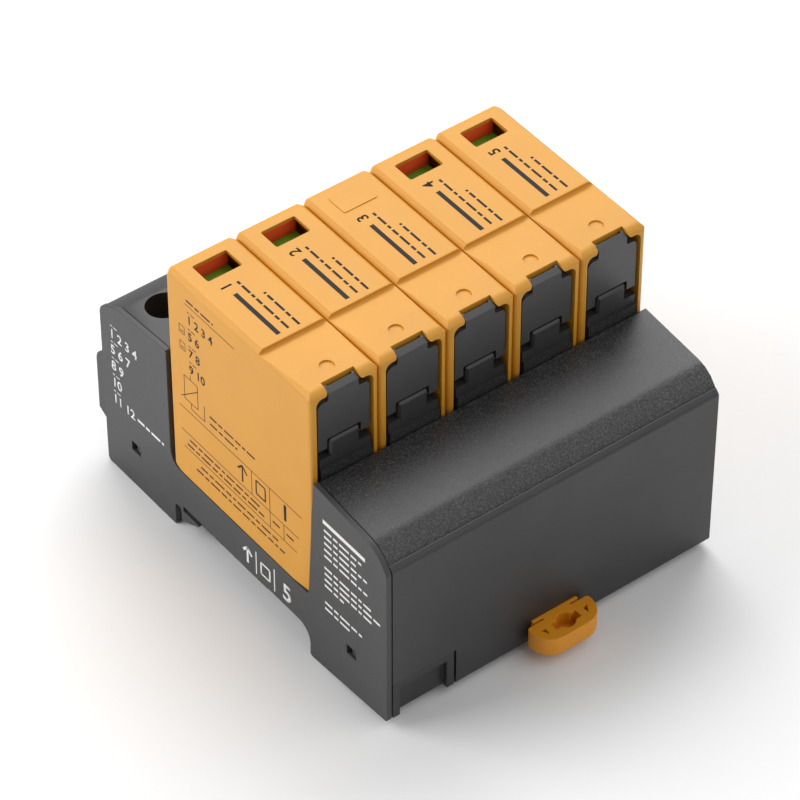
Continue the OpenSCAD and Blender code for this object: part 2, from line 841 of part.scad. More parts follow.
// Release latch: a plate with a slotted finger lip, turning on two stub pins
module latch() color("#464648") {
    along_y(latch_front, latch_back) polygon(rounded([
        [-latch_w / 2, latch_bottom, 0.3],
        [-latch_w / 2, plate_top, 1.4],
        [-lip_w / 2, plate_top, 0.5],
        [-lip_w / 2, lip_top - lip_t + 0.1, 0],
        [lip_w / 2, lip_top - lip_t + 0.1, 0],
        [lip_w / 2, plate_top, 0.5],
        [latch_w / 2, plate_top, 1.4],
        [latch_w / 2, latch_bottom, 0.3],
        [tab_w / 2 + latch_gap, latch_bottom, 0.3],
        [tab_w / 2 + latch_gap, tab_top + latch_gap, 0.4],
        [-tab_w / 2 - latch_gap, tab_top + latch_gap, 0.4],
        [-tab_w / 2 - latch_gap, latch_bottom, 0.3]
    ]));
    finger_lip();
    pin_x(-inner_x - 0.9, inner_x + 0.9, pivot_y, pivot_z, pivot_d);
}

// Lip with a bevelled front and a slot behind it that is open at the rear
module finger_lip() difference() {
    along_x(-lip_w / 2, lip_w / 2) polygon([
        [latch_front, lip_top - lip_t],
        [latch_front, lip_top - lip_fall],
        [latch_front + lip_run, lip_top],
        [lip_back, lip_top],
        [lip_back, lip_top - lip_t]
    ]);
    block(
        [-lip_w / 2 + lip_arm, latch_front + lip_run + 0.1, lip_top - lip_t + 0.3],
        [lip_w / 2 - lip_arm, lip_back + 1, lip_top + 1]
    );
}

// Red tray under the window, with an upright that shows behind the flag
module flag_backing() color("#96281a") along_x(-window_w / 2 - 0.5, window_w / 2 + 0.5) polygon([
    [window_front - flag_travel - 1, flag_z - flag_floor_t],
    [cavity_rear - fit, flag_z - flag_floor_t],
    [cavity_rear - fit, plug_top - window_wall - fit],
    [window_rear + 0.1, plug_top - window_wall - fit],
    [window_rear + 0.1, flag_z],
    [window_front - flag_travel - 1, flag_z]
]);

// Green flag that slides forward off the window when the module trips
module status_flag() color("#4f7a2a") difference() {
    block(
        [-window_w / 2 - 0.3, window_front - 0.3, flag_z + running_fit],
        [window_w / 2 + 0.3, window_rear - 0.1, flag_z + running_fit + flag_t]
    );
    block(
        [-window_w / 2 + 1.5, window_front - 1, flag_z + flag_t - 0.2],
        [window_w / 2 - 1.5, window_front + 0.6, flag_z + flag_t + 1]
    );
}

base_housing();
end_cover();
signal_port_blank();
rail_foot();
common_busbar();
for (k = all_poles) at_pole(k) {
    terminal_bar();
    clamp_cage();
    terminal_screw();
    plug_housing(k);
    plug_floor();
    blade_contacts(k);
    latch();
}
for (k = flag_poles) at_pole(k) {
    varistor();
    flag_backing();
    status_flag();
}
at_pole(spark_pole) {
    spark_gap();
}
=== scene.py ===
import math

import bpy
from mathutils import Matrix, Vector


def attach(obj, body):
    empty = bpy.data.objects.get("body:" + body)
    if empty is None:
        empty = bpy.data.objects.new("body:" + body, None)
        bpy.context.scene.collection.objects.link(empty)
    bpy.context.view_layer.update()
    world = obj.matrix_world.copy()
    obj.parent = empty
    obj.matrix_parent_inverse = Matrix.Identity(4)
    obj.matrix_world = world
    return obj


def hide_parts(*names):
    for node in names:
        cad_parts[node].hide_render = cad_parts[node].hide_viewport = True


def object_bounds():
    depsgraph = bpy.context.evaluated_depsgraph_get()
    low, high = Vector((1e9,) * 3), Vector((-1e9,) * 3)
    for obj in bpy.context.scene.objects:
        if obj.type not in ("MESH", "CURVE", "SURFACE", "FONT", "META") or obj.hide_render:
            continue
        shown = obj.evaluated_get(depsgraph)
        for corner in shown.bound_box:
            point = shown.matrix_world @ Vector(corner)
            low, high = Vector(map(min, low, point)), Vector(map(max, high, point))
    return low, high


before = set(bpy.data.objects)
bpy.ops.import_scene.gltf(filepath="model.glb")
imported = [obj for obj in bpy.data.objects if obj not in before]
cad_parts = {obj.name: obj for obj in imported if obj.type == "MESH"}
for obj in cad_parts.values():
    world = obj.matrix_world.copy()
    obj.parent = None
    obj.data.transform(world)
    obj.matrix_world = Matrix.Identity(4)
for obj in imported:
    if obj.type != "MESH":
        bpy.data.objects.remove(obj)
cad_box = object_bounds()

# Base housing: one large moulding of dark grey glass-filled plastic. The shoulder and brim carry a coarse
# spark-eroded grain with painted glints, light specks in its colour, the front and the roof a finer one, and all
# its edges are broken by a small radius.
MM = 0.001
SAME_POINT = 0.001 * MM
FLAT_ANGLE = math.radians(0.2)
SMOOTH_ANGLE = math.radians(35)
SHARP_ANGLE = math.radians(40)
BASE_GREY = (46, 46, 47)
BASE_GLOSS = 0.58
CREASE_Z = 40.2 * MM
SHOULDER_REAR_Y = -31.4 * MM
FINE_GRAIN_DEPTH = 0.004 * MM
PIT_DEPTH_SHARE = 8.0
# Painted glints: specks of the brim's coarse grain above this level lighten the base colour, those below darken it.
PAINTED_GLINT_LEVEL = 0.35
PAINTED_GLINT_STRENGTH = 0.45
DRIFT_STRENGTH = 0.12
GROUND_TONE = 0.4
DARKEST_SHADE = 0.3
# The lightest end of the grey is reached mostly by the painted glints on the brim.
LIGHTEST_MOTTLE_AND_GLINT = 3.1


def linear(colour):
    """A screen colour, 0 to 255, as the renderer's linear values."""
    shares = [value / 255 for value in colour]
    return [s / 12.92 if s < 0.04045 else ((s + 0.055) / 1.055) ** 2.4 for s in shares] + [1.0]


def shade(colour, factor):
    """A linear colour made darker or lighter."""
    return [min(1.0, value * factor) for value in colour[:3]] + [1.0]


def make_active(piece):
    bpy.ops.object.select_all(action="DESELECT")
    piece.select_set(True)
    bpy.context.view_layer.objects.active = piece


def merged(node):
    """A copy of the node's solid as one mesh, with its flats in one face each."""
    piece = bpy.data.objects.new(node + "_finish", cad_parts[node].data.copy())
    bpy.context.scene.collection.objects.link(piece)
    make_active(piece)
    bpy.ops.object.mode_set(mode="EDIT")
    bpy.ops.mesh.select_all(action="SELECT")
    bpy.ops.mesh.remove_doubles(threshold=SAME_POINT)
    bpy.ops.mesh.dissolve_limited(angle_limit=FLAT_ANGLE)
    bpy.ops.object.mode_set(mode="OBJECT")
    return piece


def round_edges(piece, radius, steps):
    """Rounds the sharp edges and keeps the flats flat in the shading."""
    make_active(piece)
    bevel = piece.modifiers.new("edge radius", "BEVEL")
    bevel.width = radius
    bevel.segments = steps
    bevel.limit_method = "ANGLE"
    bevel.angle_limit = SHARP_ANGLE
    bpy.ops.object.modifier_apply(modifier=bevel.name)
    bpy.ops.object.shade_smooth_by_angle(angle=SMOOTH_ANGLE)
    flats = piece.modifiers.new("flat faces", "WEIGHTED_NORMAL")
    flats.keep_sharp = True
    bpy.ops.object.modifier_apply(modifier=flats.name)


def finished(piece, node, body, material, edge, steps=3):
    """The merged piece with rounded edges, in its finish and riding on its body."""
    round_edges(piece, edge, steps)
    piece.data.materials.clear()
    piece.data.materials.append(material)
    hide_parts(node)
    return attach(piece, body)


def dressed(node, body, material, edge, steps=3):
    """The node's own solid, merged and finished."""
    return finished(merged(node), node, body, material, edge, steps)


def new_group(name, inputs, outputs):
    """A shader node group with float sockets, its nodes still to be placed."""
    group = bpy.data.node_groups.new(name, "ShaderNodeTree")
    for label, value in inputs:
        socket = group.interface.new_socket(name=label, in_out="INPUT", socket_type="NodeSocketFloat")
        socket.default_value = value
    for label in outputs:
        group.interface.new_socket(name=label, in_out="OUTPUT", socket_type="NodeSocketFloat")
    return group


def moulded_grain():
    """Grain of a moulding: a height for the bump, a roughness and a speckle that follow it, and a slow mottle."""
    group = new_group(
        "moulded grain",
        [("Per metre", 2500.0), ("Roughness low", 0.45), ("Roughness high", 0.6)],
        ["Height", "Roughness", "Speckle", "Mottle"],
    )
    nodes, links = group.nodes, group.links
    given = nodes.new("NodeGroupInput")
    put_out = nodes.new("NodeGroupOutput")
    place = nodes.new("ShaderNodeTexCoord")
    grain = nodes.new("ShaderNodeTexNoise")
    grain.inputs["Detail"].default_value = 3.0
    grain.inputs["Roughness"].default_value = 0.62
    patches = nodes.new("ShaderNodeTexNoise")
    patches.inputs["Scale"].default_value = 55.0
    patches.inputs["Detail"].default_value = 4.0
    sheen = nodes.new("ShaderNodeMapRange")
    sheen.inputs["From Min"].default_value = 0.3
    sheen.inputs["From Max"].default_value = 0.7
    speckle = nodes.new("ShaderNodeMapRange")
    speckle.inputs["From Min"].default_value = 0.42
    speckle.inputs["From Max"].default_value = 0.66
    links.new(place.outputs["Object"], grain.inputs["Vector"])
    links.new(place.outputs["Object"], patches.inputs["Vector"])
    links.new(given.outputs["Per metre"], grain.inputs["Scale"])
    links.new(grain.outputs["Fac"], sheen.inputs["Value"])
    links.new(given.outputs["Roughness low"], sheen.inputs["To Min"])
    links.new(given.outputs["Roughness high"], sheen.inputs["To Max"])
    links.new(grain.outputs["Fac"], speckle.inputs["Value"])
    links.new(grain.outputs["Fac"], put_out.inputs["Height"])
    links.new(sheen.outputs["Result"], put_out.inputs["Roughness"])
    links.new(speckle.outputs["Result"], put_out.inputs["Speckle"])
    links.new(patches.outputs["Fac"], put_out.inputs["Mottle"])
    return group


GRAIN = moulded_grain()


class Finish:
    """One procedural material: its nodes, with short ways to add and join them."""

    def __init__(self, name):
        self.material = bpy.data.materials.new(name)
        self.material.use_nodes = True
        self.nodes = self.material.node_tree.nodes
        self.links = self.material.node_tree.links
        self.shader = self.nodes["Principled BSDF"]

    def add(self, kind, **settings):
        node = self.nodes.new(kind)
        for key, value in settings.items():
            setattr(node, key, value)
        return node

    def grain(self, per_metre, roughness):
        node = self.add("ShaderNodeGroup", node_tree=GRAIN)
        node.inputs["Per metre"].default_value = per_metre
        node.inputs["Roughness low"].default_value = roughness[0]
        node.inputs["Roughness high"].default_value = roughness[1]
        return node

    def math(self, operation, first, second):
        node = self.add("ShaderNodeMath", operation=operation)
        for socket, value in zip(node.inputs, (first, second)):
            if isinstance(value, bpy.types.NodeSocket):
                self.links.new(value, socket)
            else:
                socket.default_value = value
        return node.outputs["Value"]

    def bump(self, height, depth):
        node = self.add("ShaderNodeBump")
        node.inputs["Strength"].default_value = 1.0
        node.inputs["Distance"].default_value = depth
        self.links.new(height, node.inputs["Height"])
        self.links.new(node.outputs["Normal"], self.shader.inputs["Normal"])

    def tint(self, mask, dark, light):
        """Base colour that runs from dark to light with the mask."""
        ramp = self.add("ShaderNodeValToRGB")
        ramp.color_ramp.elements[0].position = 0.3
        ramp.color_ramp.elements[0].color = dark
        ramp.color_ramp.elements[1].position = 0.7
        ramp.color_ramp.elements[1].color = light
        self.links.new(mask, ramp.inputs["Fac"])
        self.links.new(ramp.outputs["Color"], self.shader.inputs["Base Color"])


def base_plastic():
    """Dark grey with a coarse grain on the shoulder and brim, where painted glints lighten its colour in specks,
    and a fine one elsewhere.
    """
    finish = Finish("base plastic")
    fine = finish.grain(per_metre=5200.0, roughness=(0.42, 0.52))
    coarse = finish.grain(per_metre=2600.0, roughness=(0.28, 0.5))
    place = finish.add("ShaderNodeTexCoord")
    axes = finish.add("ShaderNodeSeparateXYZ")
    finish.links.new(place.outputs["Object"], axes.inputs["Vector"])
    above = finish.math("GREATER_THAN", axes.outputs["Z"], CREASE_Z)
    ahead = finish.math("LESS_THAN", axes.outputs["Y"], SHOULDER_REAR_Y)
    on_brim = finish.math("MULTIPLY", above, ahead)
    rough = finish.add("ShaderNodeMix")
    finish.links.new(on_brim, rough.inputs["Factor"])
    finish.links.new(fine.outputs["Roughness"], rough.inputs["A"])
    finish.links.new(coarse.outputs["Roughness"], rough.inputs["B"])
    finish.links.new(rough.outputs["Result"], finish.shader.inputs["Roughness"])
    brim_height = finish.math("MULTIPLY", coarse.outputs["Height"], on_brim)
    pits = finish.math("MULTIPLY", brim_height, PIT_DEPTH_SHARE)
    finish.bump(finish.math("ADD", fine.outputs["Height"], pits), FINE_GRAIN_DEPTH)
    # Painted glints: on the brim the coarse grain's specks lighten the base grey, standing in for glints of light
    # on the grain.
    painted_glint_specks = finish.math("SUBTRACT", coarse.outputs["Speckle"], PAINTED_GLINT_LEVEL)
    painted_glints = finish.math("MULTIPLY", finish.math("MULTIPLY", painted_glint_specks, on_brim), PAINTED_GLINT_STRENGTH)
    patches = finish.math("SUBTRACT", fine.outputs["Mottle"], 0.5)
    drift = finish.math("MULTIPLY", patches, DRIFT_STRENGTH)
    tone = finish.math("ADD", painted_glints, finish.math("ADD", drift, GROUND_TONE))
    grey = linear(BASE_GREY)
    finish.tint(tone, shade(grey, DARKEST_SHADE), shade(grey, LIGHTEST_MOTTLE_AND_GLINT))
    finish.shader.inputs["Specular IOR Level"].default_value = BASE_GLOSS
    return finish.material


dressed("base_housing", "base", base_plastic(), edge=0.25 * MM)

# End cover: a thin plate of the same grey plastic, held by two catches on the housing's left end. Its outline
# follows the housing, its edges have a soft radius, and a narrow joint parts it from the housing. Its grey is
# painted lighter than the housing's, as painted light on its lit left face.
COVER_GREY_PAINTED_LIGHTER = (60, 60, 61)
COVER_X = -45.1 * MM
COVER_THICKNESS = 1.6 * MM
JOINT_WIDTH = 0.25 * MM


def moulded_plastic(
    name, colour, per_metre=3000.0, depth=0.006 * MM, roughness=(0.42, 0.55), mottle=0.05, gloss=0.5
):
    """Plain moulded plastic: a fine grain, a slightly uneven sheen and a faint mottle."""
    finish = Finish(name)
    grain = finish.grain(per_metre, roughness)
    flat = linear(colour)
    finish.tint(grain.outputs["Mottle"], shade(flat, 1 - mottle), shade(flat, 1 + mottle))
    finish.links.new(grain.outputs["Roughness"], finish.shader.inputs["Roughness"])
    finish.bump(grain.outputs["Height"], depth)
    finish.shader.inputs["Specular IOR Level"].default_value = gloss
    return finish.material


# Painted light: the cover's grey is lighter than the housing's to stand in for the light on its left face.
cover_plastic_painted_lighter = moulded_plastic("cover plastic painted lighter", COVER_GREY_PAINTED_LIGHTER, per_metre=3600.0)
cover = dressed("end_cover", "base", cover_plastic_painted_lighter, edge=0.45 * MM)
make_active(cover)
bpy.ops.object.mode_set(mode="EDIT")
bpy.ops.mesh.select_all(action="SELECT")
bpy.ops.transform.resize(value=(1 - JOINT_WIDTH / COVER_THICKNESS, 1, 1), center_override=(COVER_X, 0, 0))
bpy.ops.object.mode_set(mode="OBJECT")

# Cover print: a thin layer of white pad-print ink on the end cover, a hair above the plastic. Rows of plain
# numbers stand at the rear, simple symbols in the middle and rows of dashes at the front. Sizes are in millimetres.
INK_WHITE = (232, 232, 230)
INK_THICKNESS = 0.02 * MM
ON_LEFT_SIDE = (math.pi / 2, 0.0, -math.pi / 2)
DASH_LENGTHS = (2.6, 1.5, 3.4, 2.0, 1.1, 2.9)
DASH_GAP = 0.6
SHORTEST_DASH = 0.4
HEADING_DASHES = ((0.0, 0.8), (1.2, 2.6))
HEADING_WIDTH = 0.25
BARB_SHARE = 0.35
NUMERAL_SHARE_OF_SIZE = 0.7
NUMERAL_WEIGHT = 0.025
COVER_ROWS = ((34.2, "1 2 3 4"), (29.4, "5 6 7"), (24.5, "8 9"), (19.4, "10"), (14.4, "11 12"))
COVER_DASH_START = 35.3
COVER_DASH_ENDS = (
    (35.6, 48.8), (33.7, 46.4), (31.8, 50.2), (29.9, 47.4), (28.0, 50.3), (24.4, 51.5),
    (22.6, 54.7), (20.8, 51.7), (19.0, 42.0), (13.8, 48.8), (12.0, 43.9),
)
COVER_DIVIDERS = (10.0, 16.7)


def ink_bar(start, end, width):
    """A printed stroke between two points, flat in the XY plane."""
    (u0, v0), (u1, v1) = start, end
    bpy.ops.object.select_all(action="DESELECT")
    bpy.ops.mesh.primitive_plane_add(
        size=1.0,
        location=((u0 + u1) / 2 * MM, (v0 + v1) / 2 * MM, 0),
        rotation=(0, 0, math.atan2(v1 - v0, u1 - u0)),
    )
    bar = bpy.context.object
    bar.scale = (math.hypot(u1 - u0, v1 - v0) * MM, width * MM, 1.0)
    return bar


def ink_dashes(height, start, end, width):
    """A row of dashes of uneven length."""
    marks, u = [], start
    while u < end - SHORTEST_DASH:
        stop = min(u + DASH_LENGTHS[len(marks) % len(DASH_LENGTHS)], end)
        marks.append(ink_bar((u, height), (stop, height), width))
        u = stop + DASH_GAP
    return marks


def ink_outline(low, high, width):
    """A rectangle of strokes between two corners."""
    corners = [low, (high[0], low[1]), high, (low[0], high[1])]
    return [ink_bar(a, b, width) for a, b in zip(corners, corners[1:] + corners[:1])]


def ink_arrow(tip, length, width):
    """An upward arrow: a shaft and two short barbs."""
    u, v = tip
    barb = BARB_SHARE * length
    return [
        ink_bar((u, v - length), tip, width),
        ink_bar((u - barb, v - barb), tip, width),
        ink_bar((u + barb, v - barb), tip, width),
    ]


def ink_numbers(numbers, start, height):
    """Plain numerals from a start at the left, half way up, made a mesh at once."""
    bpy.ops.object.select_all(action="DESELECT")
    bpy.ops.object.text_add(location=(start[0] * MM, start[1] * MM, 0))
    row = bpy.context.object
    row.data.body = numbers
    row.data.size = height * MM / NUMERAL_SHARE_OF_SIZE
    row.data.offset = NUMERAL_WEIGHT * height * MM
    row.data.align_y = "CENTER"
    bpy.ops.object.convert(target="MESH")
    return bpy.context.object


def ink_rows(rows, start, height, heading_start, heading_rise):
    """Rows of numerals, each under two short thin dashes."""
    marks = []
    for row, numbers in rows:
        marks.append(ink_numbers(numbers, (start, row), height))
        above = row + heading_rise
        for left, right in HEADING_DASHES:
            marks.append(ink_bar((heading_start + left, above), (heading_start + right, above), HEADING_WIDTH))
    return marks


def printed(name, marks, turn, place, ink):
    """The marks as one thin layer of ink, turned and moved onto its face."""
    make_active(marks[0])
    for mark in marks:
        mark.select_set(True)
    bpy.ops.object.join()
    layer = bpy.context.object
    layer.name = name
    bpy.ops.object.transform_apply(location=True, rotation=True, scale=True)
    coat = layer.modifiers.new("coat", "SOLIDIFY")
    coat.thickness = INK_THICKNESS
    coat.offset = 1.0
    bpy.ops.object.modifier_apply(modifier=coat.name)
    layer.rotation_euler = turn
    layer.location = place
    bpy.ops.object.transform_apply(location=True, rotation=True, scale=True)
    layer.data.materials.clear()
    layer.data.materials.append(ink)
    return layer


white_ink = moulded_plastic(
    "white ink", INK_WHITE, per_metre=4200.0, depth=0.003 * MM, roughness=(0.5, 0.65), mottle=0.04
)
cover_marks = ink_rows(COVER_ROWS, start=-43.8, height=2.6, heading_start=-43.5, heading_rise=2.4)
cover_marks += ink_dashes(14.4, -34.4, -24.3, width=0.7)
cover_marks.append(ink_bar((34.9, 38.0), (49.6, 38.0), width=1.1))
for height, end in COVER_DASH_ENDS:
    cover_marks += ink_dashes(height, COVER_DASH_START, end, width=0.6)
for u in COVER_DIVIDERS:
    cover_marks.append(ink_bar((u, 1.6), (u, 8.5), width=0.35))
cover_marks += ink_arrow((6.8, 7.2), length=4.6, width=0.7)
cover_marks += ink_outline((11.8, 3.2), (15.0, 6.6), width=0.5)
cover_marks.append(ink_numbers("5", (19.6, 4.4), height=4.8))
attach(printed("cover_print", cover_marks, ON_LEFT_SIDE, (COVER_X, 0, 0), white_ink), "base")

# Signal port blank: a smooth dark grey moulding that fills the port's recess at the lower left of the front.
# It is a separate insert, pushed in from the front.
PORT_GREY = (44, 43, 42)
port_plastic = moulded_plastic("port plastic", PORT_GREY, per_metre=3600.0, depth=0.004 * MM, roughness=(0.4, 0.5))
dressed("signal_port_blank", "base", port_plastic, edge=0.2 * MM)

# Rail foot: one orange moulding that slides in the front leg, with a screwdriver eye in its handle.
# It is a deeper orange than the modules and shows a satin skin.
FOOT_ORANGE = (228, 148, 22)
foot_plastic = moulded_plastic(
    "foot plastic", FOOT_ORANGE, per_metre=2600.0, depth=0.008 * MM, roughness=(0.4, 0.52), mottle=0.07
)
dressed("rail_foot", "foot", foot_plastic, edge=0.35 * MM)

# Busbar and terminal bars: stamped brass, with the faint streaks of the rolled strip. They lie under the
# pocket floor, and only the tongues can be seen, through the wire entries.
POLES = (1, 2, 3, 4, 5)
BRASS = (214, 178, 112)
STREAKS_PER_METRE = 900.0
STREAK_DEPTH = 0.004 * MM


def strip_metal(name, colour, roughness, stretch):
    """Rolled or drawn metal: streaks along one axis in the sheen and in a very shallow bump."""
    finish = Finish(name)
    place = finish.add("ShaderNodeTexCoord")
    drawn = finish.add("ShaderNodeMapping")
    drawn.inputs["Scale"].default_value = stretch
    streaks = finish.add("ShaderNodeTexNoise")
    streaks.inputs["Scale"].default_value = STREAKS_PER_METRE
    streaks.inputs["Detail"].default_value = 4.0
    sheen = finish.add("ShaderNodeMapRange")
    sheen.inputs["To Min"].default_value = roughness[0]
    sheen.inputs["To Max"].default_value = roughness[1]
    finish.links.new(place.outputs["Object"], drawn.inputs["Vector"])
    finish.links.new(drawn.outputs["Vector"], streaks.inputs["Vector"])
    finish.links.new(streaks.outputs["Fac"], sheen.inputs["Value"])
    finish.links.new(sheen.outputs["Result"], finish.shader.inputs["Roughness"])
    flat = linear(colour)
    finish.tint(streaks.outputs["Fac"], shade(flat, 0.88), shade(flat, 1.08))
    finish.bump(streaks.outputs["Fac"], STREAK_DEPTH)
    finish.shader.inputs["Metallic"].default_value = 1.0
    return finish.material


brass = strip_metal("stamped brass", BRASS, roughness=(0.28, 0.42), stretch=(1.0, 0.15, 0.15))
dressed("common_busbar", "base", brass, edge=0.1 * MM, steps=2)
for pole in POLES:
    dressed(f"terminal_bar_{pole}", "base", brass, edge=0.1 * MM, steps=2)

# Clamp cages and terminal screws: zinc-plated steel. The cages are folded from strip, and the screws are
# turned, with a cross slot in a cheese head that stands in the roof's access well.
CAGE_ZINC = (196, 199, 203)
SCREW_ZINC = (204, 206, 208)
cage_zinc = strip_metal("folded zinc steel", CAGE_ZINC, roughness=(0.3, 0.45), stretch=(0.15, 1.0, 1.0))
screw_zinc = strip_metal("turned zinc steel", SCREW_ZINC, roughness=(0.25, 0.4), stretch=(1.0, 1.0, 0.3))
for pole in POLES:
    dressed(f"clamp_cage_{pole}", f"cage_{pole}", cage_zinc, edge=0.15 * MM, steps=2)
    dressed(f"terminal_screw_{pole}", f"screw_{pole}", screw_zinc, edge=0.2 * MM, steps=2)

# Inside of the modules: a moulded floor, two tinned blades through it, and on these either a varistor block
# with a dipped coat or, in the middle module, a ceramic spark gap.
FLAGGED = (1, 2, 4, 5)
FLOOR_ORANGE = (216, 150, 70)
TIN = (205, 207, 208)
DIP_BLUE = (46, 92, 150)
CERAMIC_WHITE = (226, 222, 212)
floor_plastic = moulded_plastic("module floor plastic", FLOOR_ORANGE, per_metre=2600.0)
tin = strip_metal("tinned copper", TIN, roughness=(0.3, 0.45), stretch=(1.0, 1.0, 0.2))
dip_coat = moulded_plastic(
    "dipped coat", DIP_BLUE, per_metre=900.0, depth=0.02 * MM, roughness=(0.25, 0.4), mottle=0.1
)
ceramic = moulded_plastic(
    "glazed ceramic", CERAMIC_WHITE, per_metre=1200.0, depth=0.004 * MM, roughness=(0.15, 0.25), mottle=0.03
)
for pole in POLES:
    dressed(f"plug_floor_{pole}", f"plug_{pole}", floor_plastic, edge=0.15 * MM, steps=2)
    dressed(f"blade_contacts_{pole}", f"plug_{pole}", tin, edge=0.08 * MM, steps=2)
for pole in FLAGGED:
    dressed(f"varistor_{pole}", f"plug_{pole}", dip_coat, edge=0.4 * MM)
dressed("spark_gap_3", "plug_3", ceramic, edge=0.3 * MM)

# Status flags: a green slide on a red tray under each window, both smooth mouldings. The tray is fixed in the
# module, and its upright shows red behind the flag. That red is painted lighter, as painted light on the upright
# deep in the shaded window.
FLAG_RED_PAINTED_LIGHTER = (252, 88, 44)
FLAG_GREEN = (98, 146, 26)
# Painted light: the tray's red is made lighter to stand in for light on its upright in the shaded window.
red_plastic_painted_lighter = moulded_plastic("flag red painted lighter", FLAG_RED_PAINTED_LIGHTER, depth=0.004 * MM, roughness=(0.35, 0.45))
green_plastic = moulded_plastic("flag green", FLAG_GREEN, depth=0.004 * MM, roughness=(0.35, 0.45))
for pole in FLAGGED:
    dressed(f"flag_backing_{pole}", f"plug_{pole}", red_plastic_painted_lighter, edge=0.1 * MM, steps=2)
    dressed(f"status_flag_{pole}", f"flag_{pole}", green_plastic, edge=0.1 * MM, steps=2)

# Module housings: orange satin mouldings, pushed into the pocket from above. Their top and rear edges run into
# round corners, and the middle one has a raised pad in place of a window.
MODULE_ORANGE = (214, 149, 36)
POLE_PITCH = 18.0 * MM
MIDDLE_POLE = 3
TRIM_HALF_WIDTH = 9.3 * MM
TRIM_REAR_Y = 21.7 * MM
TRIM_TOP_Z = 70.4 * MM
TRIM_RADIUS = 3.17 * MM
TRIM_REACH = 100.0 * MM
WINDOW_FRONT_Y = 11.0 * MM
WINDOW_FLOOR_Z = 69.75 * MM
LEVEL_SLACK = 0.01 * MM
PAD_RISE = 0.45 * MM


def pick_points(piece, wanted):
    """Goes to edit mode with just those points picked that pass the test."""
    make_active(piece)
    bpy.ops.object.mode_set(mode="EDIT")
    bpy.ops.mesh.select_mode(type="VERT")
    bpy.ops.mesh.select_all(action="DESELECT")
    bpy.ops.object.mode_set(mode="OBJECT")
    for point in piece.data.vertices:
        point.select = wanted(point.co)
    bpy.ops.object.mode_set(mode="EDIT")


def round_corners(housing, pole):
    """Trims the rear and top edges with a larger block whose own edges run into round corners."""
    bpy.ops.object.select_all(action="DESELECT")
    bpy.ops.mesh.primitive_cube_add(
        size=2.0,
        location=((pole - MIDDLE_POLE) * POLE_PITCH, TRIM_REAR_Y - TRIM_REACH, TRIM_TOP_Z - TRIM_REACH),
    )
    block = bpy.context.object
    block.scale = (TRIM_HALF_WIDTH, TRIM_REACH, TRIM_REACH)
    bpy.ops.object.transform_apply(location=True, rotation=True, scale=True)
    pick_points(block, lambda place: place.y > 0 or place.z > 0)
    bpy.ops.mesh.bevel(offset=TRIM_RADIUS, segments=8)
    bpy.ops.object.mode_set(mode="OBJECT")
    make_active(housing)
    trim = housing.modifiers.new("round corners", "BOOLEAN")
    trim.operation = "INTERSECT"
    trim.solver = "EXACT"
    trim.object = block
    bpy.ops.object.modifier_apply(modifier=trim.name)
    make_active(block)
    bpy.ops.object.delete()


def raise_pad(housing):
    """Lifts the floor of the closed window a hair above the top."""
    pick_points(
        housing,
        lambda place: abs(place.z - WINDOW_FLOOR_Z) < LEVEL_SLACK and place.y > WINDOW_FRONT_Y,
    )
    bpy.ops.transform.translate(value=(0, 0, PAD_RISE))
    bpy.ops.object.mode_set(mode="OBJECT")


plug_plastic = moulded_plastic(
    "module plastic",
    MODULE_ORANGE,
    per_metre=3600.0,
    depth=0.009 * MM,
    roughness=(0.45, 0.58),
    mottle=0.03,
    gloss=0.6,
)
for pole in POLES:
    housing = merged(f"plug_housing_{pole}")
    round_corners(housing, pole)
    if pole == MIDDLE_POLE:
        raise_pad(housing)
    finished(housing, f"plug_housing_{pole}", f"plug_{pole}", plug_plastic, edge=0.25 * MM)

# Module print: black ink on the top and the left side of every module. It is laid out once, with plain numbers,
# rules, dashes and simple symbols, and each module gets a copy of its own with its pole's numeral.
INK_BLACK = (26, 24, 22)
ON_TOP = (0.0, 0.0, math.pi / 2)
PLUG_SIDE_X = -8.9 * MM
PLUG_TOP_Z = 70.0 * MM
RULE_WIDTH = 0.18
SYMBOL_WIDTH = 0.2
DASH_WIDTH = 0.5
SIDE_ROWS = ((60.2, "1 2 3 4"), (55.4, "5 6"), (50.4, "7 8"), (45.7, "9 10"))
SIDE_BOXES = (55.8, 51.0)
SIDE_RULES = ((64.3, -13.8, 4.2), (32.3, -17.4, 27.1), (25.2, -17.1, 25.9), (20.4, -16.3, 25.1))
SIDE_DIVIDERS = ((9.0, 25.2, 32.3), (15.5, 20.4, 32.3), (20.5, 20.4, 25.2))
SIDE_DASHES = (
    (23.6, -14.1, 12.5), (21.8, -15.1, 13.5), (23.0, 16.4, 19.2),
    (23.0, 21.4, 24.4), (18.4, -10.2, 18.7), (16.5, -11.9, 20.6),
)
VARISTOR_STROKES = (
    ((-16.6, 35.4), (-10.2, 41.0)),
    ((-12.9, 42.5), (-12.9, 44.0)),
    ((-12.9, 33.9), (-12.9, 35.6)),
    ((-12.9, 33.9), (-8.0, 33.9)),
    ((-8.0, 33.9), (-8.0, 38.4)),
)
black_ink = moulded_plastic(
    "black ink", INK_BLACK, per_metre=4200.0, depth=0.003 * MM, roughness=(0.5, 0.65), mottle=0.1, gloss=0.25
)

top_marks = [ink_bar((-11.0, 2.2), (4.6, 2.2), width=1.1)]
top_marks += ink_dashes(-0.5, -10.7, 7.5, width=0.6)
top_marks += ink_dashes(-3.0, -11.2, 1.3, width=0.6)

